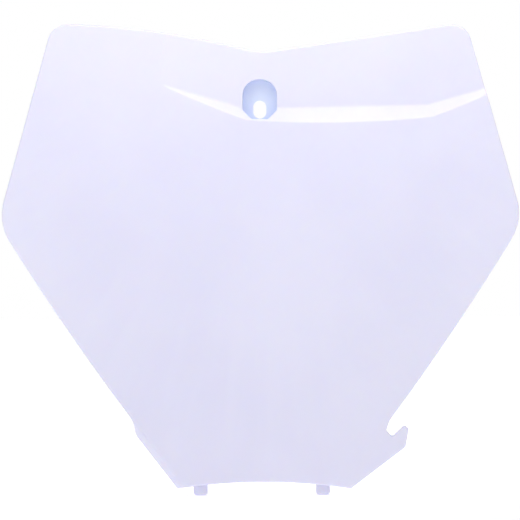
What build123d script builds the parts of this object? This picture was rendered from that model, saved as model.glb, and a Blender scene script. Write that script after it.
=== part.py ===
from build123d import *
import os
from math import cos, radians, sin, sqrt, tan

# Front number board of an off-road motorbike, one injection moulding.
# Seen from the front, X is to the right and Z is up, and the show face looks towards -Y.
# The origin is the middle of the fixing slot, on the seat that the screw head bears on.

# Wall and show face
wall = 2.5
panel_radius = 500.0
bend_start = -115.0
bend_radius = 430.0
seat_depth = 12.0

# Outline, seen from the front
notch_height = 28.3
notch_radius = 40.0
shoulder_half_width = 103.5
shoulder_height = 43.6
shoulder_radius = 10.0
top_left_bow = 3.0
ear_half_width = 131.8
ear_height = -55.9
ear_radius = 25.0
flank_bow = 1.4
crease_half_width = 64.0
crease_height = -155.4
crease_top_radius = 12.0
foot_half_width = 42.4
foot_height = -189.3
foot_arch = 3.4

# Set-back strip along the top, and the ledge below it
strip_depth = 6.6
strip_turn = 5.0
ledge_angle = 43.0
ledge_corner_across = -7.0
ledge_corner_height = 0.1
ledge_fall = 15.9
ledge_rise_across = 84.5
ledge_rise_height = 2.0
ledge_rise = 15.8
ledge_corner_radius = 8.0
ledge_root_round = 2.0

# Pocket and slot for the fixing screw
pocket_width = 17.8
pocket_top = 15.2
pocket_land = 0.9
pocket_flat_top = 1.0
pocket_corner = 4.4
pocket_draft = 2.0
slot_width = 6.4
slot_length = 9.0

# Creases that the lower walls bend back along
crease_foot = 39.6

# Lower left flange, flat behind a crisp crease, seen from the front
flange_sweep = 45.0
flange_crease_round = 1.6
flange_foot = 42.2
flange_shoulder_setback = 1.1
flange_shoulder_drop = 6.9
flange_corner_radius = 5.0

# Lower right wing, which bends back softly, and its hose hook, seen from the front
wing_sweep = 22.0
wing_bend_radius = 25.0
wing_foot = 44.6
wing_reach = 8.1
wing_drop = 13.7
wing_corner_radius = 4.0
wing_foot_radius = 1.5
hose_gap_setback = 1.7
hose_gap_drop = 5.1
hose_gap_width = 4.3
hose_gap_radius = 1.2
hook_angle = 43.0
hook_length = 8.6
hook_tip_width = 3.0
hook_tip_radius = 1.4

# Pegs that reach below the lower edge, and the bosses that carry them behind the panel
peg_spacing = 61.2
peg_diameter = 7.2
peg_reach = 5.2
peg_round = 1.6
peg_room = 1.5
boss_width = 9.0
boss_lift = 2.0
boss_height = 11.0
gusset_thickness = 2.4
gusset_height = 14.0

# Soft edges of the show side
edge_round = 1.0

# Extents of the working solids, all of them past the outline
body_overrun = 20.0
spine_top = shoulder_height + body_overrun
spine_sweep = 14.0
section_angle = 17.0
body_back = 60.0
outline_reach = 45.0
recess_left = -100.0
recess_right = 140.0
recess_reach = 30.0

# Walls of the outline run along Y, so their normals have less of Y than this
square_to_y = sin(radians(1.0))


def show_y(across, height):
    """Y of the panel's show face at a point seen from the front."""
    hollow = panel_radius - sqrt(panel_radius**2 - across**2)
    below = max(bend_start - height, 0.0)
    return bend_radius - seat_depth - sqrt((bend_radius - hollow) ** 2 - below**2)


def recess(depth):
    """The space in front of the set-back strip and above its ledge, moved in by the given depth."""
    turn = radians(strip_turn)
    strip_plane = Plane(
        origin=(0, strip_depth - seat_depth, 0),
        x_dir=(cos(turn), sin(turn), 0),
        z_dir=(sin(turn), -cos(turn), 0),
    )
    ledge_sink = depth * tan(radians((90 - ledge_angle) / 2))
    low_corner = (ledge_corner_across, ledge_corner_height - ledge_sink)
    high_corner = (ledge_rise_across, ledge_rise_height - ledge_sink)
    left_rise = (ledge_corner_across - recess_left) * tan(radians(ledge_fall))
    right_rise = (recess_right - ledge_rise_across) * tan(radians(ledge_rise))
    with BuildPart() as space:
        with BuildSketch(strip_plane.offset(-depth)) as floor:
            with BuildLine():
                Polyline(
                    (recess_left, low_corner[1] + left_rise),
                    low_corner,
                    high_corner,
                    (recess_right, high_corner[1] + right_rise),
                    (recess_right, spine_top),
                    (recess_left, spine_top),
                    close=True,
                )
            make_face()
            corners = [floor.vertices().sort_by_distance(corner)[0] for corner in (low_corner, high_corner)]
            fillet(corners, radius=ledge_corner_radius)
        extrude(amount=recess_reach, taper=-ledge_angle)
        root = space.faces().sort_by(Axis(strip_plane.origin, strip_plane.z_dir))[0]
        fillet(root.edges(), radius=ledge_root_round + depth)
    return space.part


def lower_edge(across):
    """Height of the arched lower edge."""
    arch_radius = (foot_half_width**2 + foot_arch**2) / (2 * foot_arch)
    return foot_height + foot_arch - arch_radius + sqrt(arch_radius**2 - across**2)


def fold_plane(side, sweep_back):
    """Show plane of the wall that bends back along a crease."""
    foot_edge = lower_edge(crease_foot)
    foot = Vector(side * crease_foot, show_y(crease_foot, foot_edge), foot_edge)
    top = Vector(side * crease_half_width, show_y(crease_half_width, crease_height), crease_height)
    along = (top - foot).normalized()
    outward = Vector(side * along.Z, 0, -abs(along.X)).normalized()
    fold = outward * cos(radians(sweep_back)) + Vector(0, sin(radians(sweep_back)), 0)
    return Plane(origin=foot, x_dir=along, z_dir=fold.cross(along) * side)


folds = [
    (fold_plane(-1, flange_sweep), flange_crease_round),
    (fold_plane(1, wing_sweep), wing_bend_radius),
]


draft_in = seat_depth * tan(radians(pocket_draft))
lip_height = ledge_corner_height - strip_depth * tan(radians(ledge_angle))
seat_width = pocket_width - 2 * draft_in
seat_top = pocket_top - draft_in
seat_arch_radius = (seat_width - pocket_flat_top) / 2
seat_bottom = lip_height + pocket_land + draft_in


def body_behind(depth):
    """All of the space behind the show face, moved in by the given depth."""
    with BuildPart() as body:
        with BuildLine(Plane.YZ):
            straight = Line((-seat_depth, spine_top), (-seat_depth, bend_start))
            JernArc(straight @ 1, straight % 1, bend_radius, spine_sweep)
        with BuildSketch(Plane.XY.offset(spine_top)):
            with BuildLine():
                front = CenterArc(
                    (0, panel_radius - seat_depth),
                    panel_radius - depth,
                    -90 - section_angle,
                    2 * section_angle,
                )
                right_back = ((front @ 1).X, body_back)
                left_back = ((front @ 0).X, body_back)
                Polyline(front @ 1, right_back, left_back, front @ 0)
            make_face()
        sweep()
        for fold, crease_round in folds:
            split(bisect_by=fold.offset(-depth), keep=Keep.BOTTOM)
            if crease_round > depth:
                fold_face = body.faces().filter_by(fold)[0]
                fillet(fold_face.edges().filter_by(GeomType.LINE, reverse=True), radius=crease_round - depth)
        add(recess(depth), mode=Mode.SUBTRACT)
        with BuildSketch(Plane.XZ.offset(-depth)) as pocket:
            with Locations((0, (seat_top + seat_bottom) / 2)):
                Rectangle(seat_width + 2 * depth, seat_top - seat_bottom + 2 * depth)
            fillet(pocket.vertices().group_by(Axis.Y)[-1], radius=seat_arch_radius + depth)
            chamfer(pocket.vertices().group_by(Axis.Y)[0], length=pocket_corner + depth * (2 - sqrt(2)))
        extrude(amount=seat_depth + depth, taper=-pocket_draft, mode=Mode.SUBTRACT)
    return body.part


peg_across = peg_spacing / 2
peg_radius = peg_diameter / 2
edge_at_peg = lower_edge(peg_across)
peg_y = show_y(peg_across, edge_at_peg) + wall + peg_room + peg_radius
peg_tip = edge_at_peg - peg_reach
boss_bottom = edge_at_peg + boss_lift
boss_top = boss_bottom + boss_height
pegs = [(-peg_across, peg_y), (peg_across, peg_y)]

show_body = body_behind(0)

# The pegs and their bosses stand behind the show face
with BuildPart() as back_features:
    with BuildSketch(Plane.XY.offset(peg_tip)):
        with Locations(*pegs):
            Circle(peg_radius)
    extrude(amount=boss_top - peg_tip)
    with BuildSketch(Plane.XY.offset(boss_bottom)):
        with Locations(*pegs):
            Circle(boss_width / 2)
            Rectangle(boss_width, peg_y + seat_depth, align=(Align.CENTER, Align.MAX))
    extrude(amount=boss_height)
    with BuildSketch(Plane.YZ.offset(-peg_across), Plane.YZ.offset(peg_across)):
        with BuildLine():
            Polyline(
                (-seat_depth, boss_top),
                (peg_y, boss_top),
                (-seat_depth, boss_top + gusset_height),
                close=True,
            )
        make_face()
    extrude(amount=gusset_thickness / 2, both=True)
    fillet(back_features.edges().group_by(Axis.Z)[0], radius=peg_round)
    add(show_body.moved(Location((0, (edge_round + wall) / 2, 0))), mode=Mode.INTERSECT)

with BuildPart() as number_board:
    with BuildSketch(Plane.XZ) as outline:
        notch = (0, notch_height)
        ears = [(side * ear_half_width, ear_height) for side in (-1, 1)]
        shoulders = [(side * shoulder_half_width, shoulder_height) for side in (-1, 1)]
        crease_tops = [(side * crease_half_width, crease_height) for side in (-1, 1)]
        along_hook = Vector(cos(radians(hook_angle)), sin(radians(hook_angle)))
        across_hook = Vector(along_hook.Y, -along_hook.X)
        gap_corner = Vector(crease_half_width - hose_gap_setback, crease_height - hose_gap_drop)
        gap_end = gap_corner + across_hook * hose_gap_width
        hook_tip = gap_end + along_hook * hook_length
        hook_outer = hook_tip + across_hook * hook_tip_width
        wing_corner = (crease_half_width + wing_reach, crease_height - wing_drop)
        wing_end = (wing_foot, lower_edge(wing_foot))
        flange_end = (-flange_foot, lower_edge(flange_foot))
        flange_corner = (flange_shoulder_setback - crease_half_width, crease_height - flange_shoulder_drop)
        with BuildLine():
            Line(notch, shoulders[1])
            Line(shoulders[1], ears[1])
            SagittaArc(ears[1], crease_tops[1], flank_bow)
            Polyline(crease_tops[1], gap_corner, gap_end, hook_tip, hook_outer, wing_corner, wing_end)
            ThreePointArc(wing_end, (0, foot_height + foot_arch), flange_end)
            Polyline(flange_end, flange_corner, crease_tops[0])
            SagittaArc(crease_tops[0], ears[0], flank_bow)
            Line(ears[0], shoulders[0])
            SagittaArc(shoulders[0], notch, top_left_bow)
        make_face()
        roundings = [
            ([notch], notch_radius),
            (ears, ear_radius),
            (shoulders, shoulder_radius),
            (crease_tops, crease_top_radius),
            ([gap_corner, gap_end], hose_gap_radius),
            ([hook_tip, hook_outer], hook_tip_radius),
            ([wing_corner], wing_corner_radius),
            ([wing_end], wing_foot_radius),
            ([flange_corner], flange_corner_radius),
        ]
        for corners, corner_radius in roundings:
            fillet(
                [outline.vertices().sort_by_distance(corner)[0] for corner in corners],
                radius=corner_radius,
            )
    extrude(amount=outline_reach, both=True)
    add(show_body, mode=Mode.INTERSECT)
    sides = number_board.faces().filter_by(lambda face: abs(face.normal_at().Y) < square_to_y)
    rim = sides.edges().filter_by(Axis.Y, reverse=True)
    rim = rim.filter_by(lambda edge: edge.center().Y < outline_reach / 2)
    panel = number_board.faces().filter_by(GeomType.CYLINDER).sort_by(SortBy.AREA)[-1]
    ledge_lip = panel.edges() - rim
    ledge_lip = ledge_lip.filter_by(GeomType.LINE, reverse=True).filter_by(GeomType.CIRCLE, reverse=True)
    fillet(rim + ledge_lip, radius=edge_round)
    add(body_behind(wall), mode=Mode.SUBTRACT)
    add(back_features.part)
    with BuildSketch(Plane.XZ):
        SlotOverall(slot_length, slot_width, rotation=90)
    extrude(amount=-2 * wall, mode=Mode.SUBTRACT)

number_board.part.label = "number_board"
os.makedirs("parts", exist_ok=True)
export_step(number_board.part, "parts/number_board.step")
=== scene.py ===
import math

import bpy
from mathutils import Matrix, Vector


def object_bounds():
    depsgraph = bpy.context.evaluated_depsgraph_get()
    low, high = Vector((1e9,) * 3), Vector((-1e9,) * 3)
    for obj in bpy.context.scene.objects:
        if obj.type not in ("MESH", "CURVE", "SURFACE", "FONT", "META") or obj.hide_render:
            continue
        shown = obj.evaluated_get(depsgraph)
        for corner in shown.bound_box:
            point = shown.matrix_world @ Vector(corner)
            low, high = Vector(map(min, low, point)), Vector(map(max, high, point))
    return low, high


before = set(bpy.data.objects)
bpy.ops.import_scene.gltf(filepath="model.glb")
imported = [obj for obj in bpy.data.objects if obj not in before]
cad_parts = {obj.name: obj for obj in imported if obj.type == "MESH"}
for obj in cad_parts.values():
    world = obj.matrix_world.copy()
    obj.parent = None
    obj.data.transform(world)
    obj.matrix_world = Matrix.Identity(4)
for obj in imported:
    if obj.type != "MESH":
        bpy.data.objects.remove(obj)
cad_box = [list(corner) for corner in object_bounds()]

# The board: one injection moulding of pale polypropylene, coloured in the melt.
# Its show side comes from a polished mould half and is glossy; its back comes from an eroded
# half and is a fine satin. The melt enters behind the screw pocket and leaves faint flow streaks.
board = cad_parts["number_board"]
board_pale = (0.800, 0.785, 0.945, 1.0)
board_deep = (0.770, 0.757, 0.925, 1.0)
board_streak = (0.815, 0.802, 0.955, 1.0)
board_gate = Vector((0.0, 0.0, 0.012))
cloud_scale = 11.0
streak_scale = 16.0
streak_share = 0.35
pigment_scale = 1400.0
pigment_share = 0.12
peel_scale = 380.0
peel_share = 0.35
grain_scale = 3200.0
relief_height = 0.00002
show_roughness = 0.27
satin_roughness = 0.16
# painted light and shade: the bluer tint of the screw pocket
pocket_painted_light = (0.735, 0.790, 0.985, 1.0)
pocket_middle = Vector((0.0, 0.0, 0.005))
pocket_reach = 0.0107
pocket_blend = 0.0005
pocket_mouth = -0.0048
pocket_inside = -0.0030


class Socket:
    """One value in a material's nodes, with the operators that its expressions use."""

    def __init__(self, nodes, socket):
        self.nodes = nodes
        self.socket = socket

    def maths(self, operation, first, second):
        return self.nodes.add("ShaderNodeMath", {"operation": operation}, {0: first, 1: second})

    def __add__(self, other):
        return self.maths("ADD", self, other)

    def __radd__(self, other):
        return self.maths("ADD", other, self)

    def __sub__(self, other):
        return self.maths("SUBTRACT", self, other)

    def __rsub__(self, other):
        return self.maths("SUBTRACT", other, self)

    def __mul__(self, other):
        return self.maths("MULTIPLY", self, other)

    def __rmul__(self, other):
        return self.maths("MULTIPLY", other, self)

    def between(self, low, high):
        """0 below low, 1 above high and a smooth step from one to the other."""
        sockets = {"Value": self, "From Min": low, "From Max": high}
        return self.nodes.add("ShaderNodeMapRange", {"interpolation_type": "SMOOTHSTEP"}, sockets)


class Nodes:
    """The nodes of one material or world."""

    def __init__(self, tree):
        self.tree = tree
        tree.nodes.clear()

    def add(self, kind, settings=None, sockets=None, output=0):
        node = self.tree.nodes.new(kind)
        for name, value in (settings or {}).items():
            setattr(node, name, value)
        for name, value in (sockets or {}).items():
            if isinstance(value, Socket):
                self.tree.links.new(value.socket, node.inputs[name])
            else:
                node.inputs[name].default_value = value
        return Socket(self, node.outputs[output]) if node.outputs else None

    def noise(self, place, scale, detail=2.0, roughness=0.5):
        sockets = {"Vector": place, "Scale": scale, "Detail": detail, "Roughness": roughness}
        return self.add("ShaderNodeTexNoise", None, sockets)

    def mix(self, share, first, second):
        """Two colours, by the colour sockets of a Mix node."""
        sockets = {0: share, 6: first, 7: second}
        return self.add("ShaderNodeMix", {"data_type": "RGBA"}, sockets, 2)

    def vectors(self, operation, first, second):
        return self.add("ShaderNodeVectorMath", {"operation": operation}, {0: first, 1: second})

    def length(self, vector):
        return self.add("ShaderNodeVectorMath", {"operation": "LENGTH"}, {0: vector}, "Value")

    def backwards(self, vector):
        """How far a place or a normal points backwards through the board."""
        return self.add("ShaderNodeSeparateXYZ", None, {0: vector}, "Y")


board_material = bpy.data.materials.new("pale_polypropylene")
board_material.use_nodes = True
plastic = Nodes(board_material.node_tree)
place = plastic.add("ShaderNodeTexCoord", output="Object")
normal = plastic.add("ShaderNodeTexCoord", output="Normal")
satin = plastic.backwards(normal).between(0.2, 0.5)

from_gate = plastic.vectors("SUBTRACT", place, board_gate)
outward = plastic.add("ShaderNodeVectorMath", {"operation": "NORMALIZE"}, {0: from_gate})
streaks = plastic.noise(outward, streak_scale, 3.0) * plastic.length(from_gate).between(0.01, 0.16)
clouds = plastic.noise(place, cloud_scale, 3.0)
pigment = plastic.noise(place, pigment_scale, 1.0)
tint = plastic.mix(clouds.between(0.35, 0.65), board_pale, board_deep)
tint = plastic.mix(streaks.between(0.35, 0.75) * streak_share, tint, board_streak)
tint = plastic.mix(pigment.between(0.45, 0.75) * pigment_share, tint, board_deep)

# Painted light and shade: the screw pocket is shaded and lit partly through its own wall and looks bluer,
# which this painted tint stands for
beside = plastic.vectors("MULTIPLY", plastic.vectors("SUBTRACT", place, pocket_middle), (1, 0, 1))
outside = plastic.length(beside).between(pocket_reach, pocket_reach + pocket_blend)
sunk = plastic.backwards(place).between(pocket_mouth, pocket_inside)
tint = plastic.mix(sunk * (1 - satin) * (1 - outside), tint, pocket_painted_light)

peel = plastic.noise(place, peel_scale, 1.0)
grain = plastic.noise(place, grain_scale, 2.0, 0.6)
gloss = show_roughness + 0.07 * clouds + 0.03 * pigment
roughness = gloss + satin * (satin_roughness + 0.10 * grain)
height = peel * (1 - satin) * peel_share + grain * satin
relief = plastic.add("ShaderNodeBump", None, {"Strength": 0.5, "Distance": relief_height, "Height": height})
surface = plastic.add(
    "ShaderNodeBsdfPrincipled",
    None,
    {
        "Base Color": tint,
        "Roughness": roughness,
        "Normal": relief,
        "IOR": 1.49,
        "Subsurface Weight": 0.25,
        "Subsurface Radius": (0.5, 0.8, 1.6),
        "Subsurface Scale": 0.003,
    },
)
plastic.add("ShaderNodeOutputMaterial", None, {"Surface": surface})
board.data.materials.clear()
board.data.materials.append(board_material)

# The floor: the matt white base of a light tent, lit from below, which the pegs stand on.
# The light under it is dimmer close in front of the board than behind it and further out,
# and the base reaches far past the view on all sides.
floor_half = 6.0
floor_level = cad_box[0][2]
floor_pale = (0.90, 0.90, 0.91, 1)
floor_white = (0.93, 0.93, 0.94, 1)
floor_dim = (0.24, 0.24, 0.24, 1)
floor_bright = (0.70, 0.70, 0.70, 1)
glow_front = -0.024
glow_back = 0.046
glow_near = 0.25
glow_far = 0.8
floor_mesh = bpy.data.meshes.new("floor")
floor_corners = [(-1, -1), (1, -1), (1, 1), (-1, 1)]
floor_points = [(x * floor_half, y * floor_half, floor_level) for x, y in floor_corners]
floor_mesh.from_pydata(floor_points, [], [(0, 1, 2, 3)])
floor = bpy.data.objects.new("floor", floor_mesh)
bpy.context.scene.collection.objects.link(floor)
floor_material = bpy.data.materials.new("white_tent_base")
floor_material.use_nodes = True
tent = Nodes(floor_material.node_tree)
tent_place = tent.add("ShaderNodeTexCoord", output="Object")
tent_tint = tent.mix(tent.noise(tent_place, 60.0, 4.0), floor_pale, floor_white)
behind = tent.backwards(tent_place).between(glow_front, glow_back)
further = tent.length(tent_place).between(glow_near, glow_far)
tent_glow = tent.mix(1 - (1 - behind) * (1 - further), floor_dim, floor_bright)
tent_surface = tent.add(
    "ShaderNodeBsdfPrincipled",
    None,
    {"Base Color": tent_tint, "Roughness": 0.9, "Emission Color": tent_glow, "Emission Strength": 1.0},
)
tent.add("ShaderNodeOutputMaterial", None, {"Surface": tent_surface})
floor_mesh.materials.append(floor_material)

# The studio: white cloth all round, which the camera sees as plain white, two soft lights
# close above the front of the board, a weaker one low on each side, and one behind it.
cloth_light = 0.43
cloth_seen = 1.0
cloth_white = (1, 1, 1, 1)
board_middle = (0, 0, -0.06)
world = bpy.data.worlds.new("studio")
world.use_nodes = True
bpy.context.scene.world = world
studio = Nodes(world.node_tree)
lighting = studio.add("ShaderNodeBackground", None, {"Color": cloth_white, "Strength": cloth_light})
backdrop = studio.add("ShaderNodeBackground", None, {"Color": cloth_white, "Strength": cloth_seen})
seen = studio.add("ShaderNodeLightPath", output="Is Camera Ray")
cloth = studio.add("ShaderNodeMixShader", None, {0: seen, 1: lighting, 2: backdrop})
studio.add("ShaderNodeOutputWorld", None, {"Surface": cloth})


def soft_light(name, at, towards, width, height, power):
    lamp = bpy.data.lights.new(name, "AREA")
    lamp.shape = "RECTANGLE"
    lamp.size = width
    lamp.size_y = height
    lamp.energy = power
    light = bpy.data.objects.new(name, lamp)
    bpy.context.scene.collection.objects.link(light)
    light.location = at
    light.rotation_euler = (Vector(towards) - Vector(at)).to_track_quat("-Z", "Y").to_euler()
    light.visible_camera = False


soft_light("front_top", (0.03, -0.22, 0.25), board_middle, 0.6, 0.15, 0.56)
soft_light("overhead", (0.06, -0.07, 0.40), board_middle, 0.6, 0.15, 0.82)
soft_light("left", (-0.55, -0.50, -0.05), (-0.03, 0, -0.08), 0.25, 0.5, 0.42)
soft_light("right", (0.55, -0.50, -0.05), (0.03, 0, -0.08), 0.25, 0.5, 0.32)
soft_light("behind", (-0.45, 0.60, 0.45), board_middle, 0.5, 0.4, 1.2)

# The camera: a long lens square to the board, turned by a hair about its own axis.
# It stands far off, so that the board is seen almost without perspective.
view_width = 0.260
view_distance = 2.0
view_middle = (-0.0003, -0.0752)
view_roll = 0.3
lens = bpy.data.cameras.new("camera")
lens.sensor_width = 36.0
lens.lens = lens.sensor_width * view_distance / view_width
camera = bpy.data.objects.new("camera", lens)
bpy.context.scene.collection.objects.link(camera)
camera.location = (view_middle[0], -view_distance, view_middle[1])
camera.rotation_euler = (math.radians(90), math.radians(view_roll), 0)
bpy.context.scene.camera = camera
bpy.context.scene.view_settings.view_transform = "Standard"
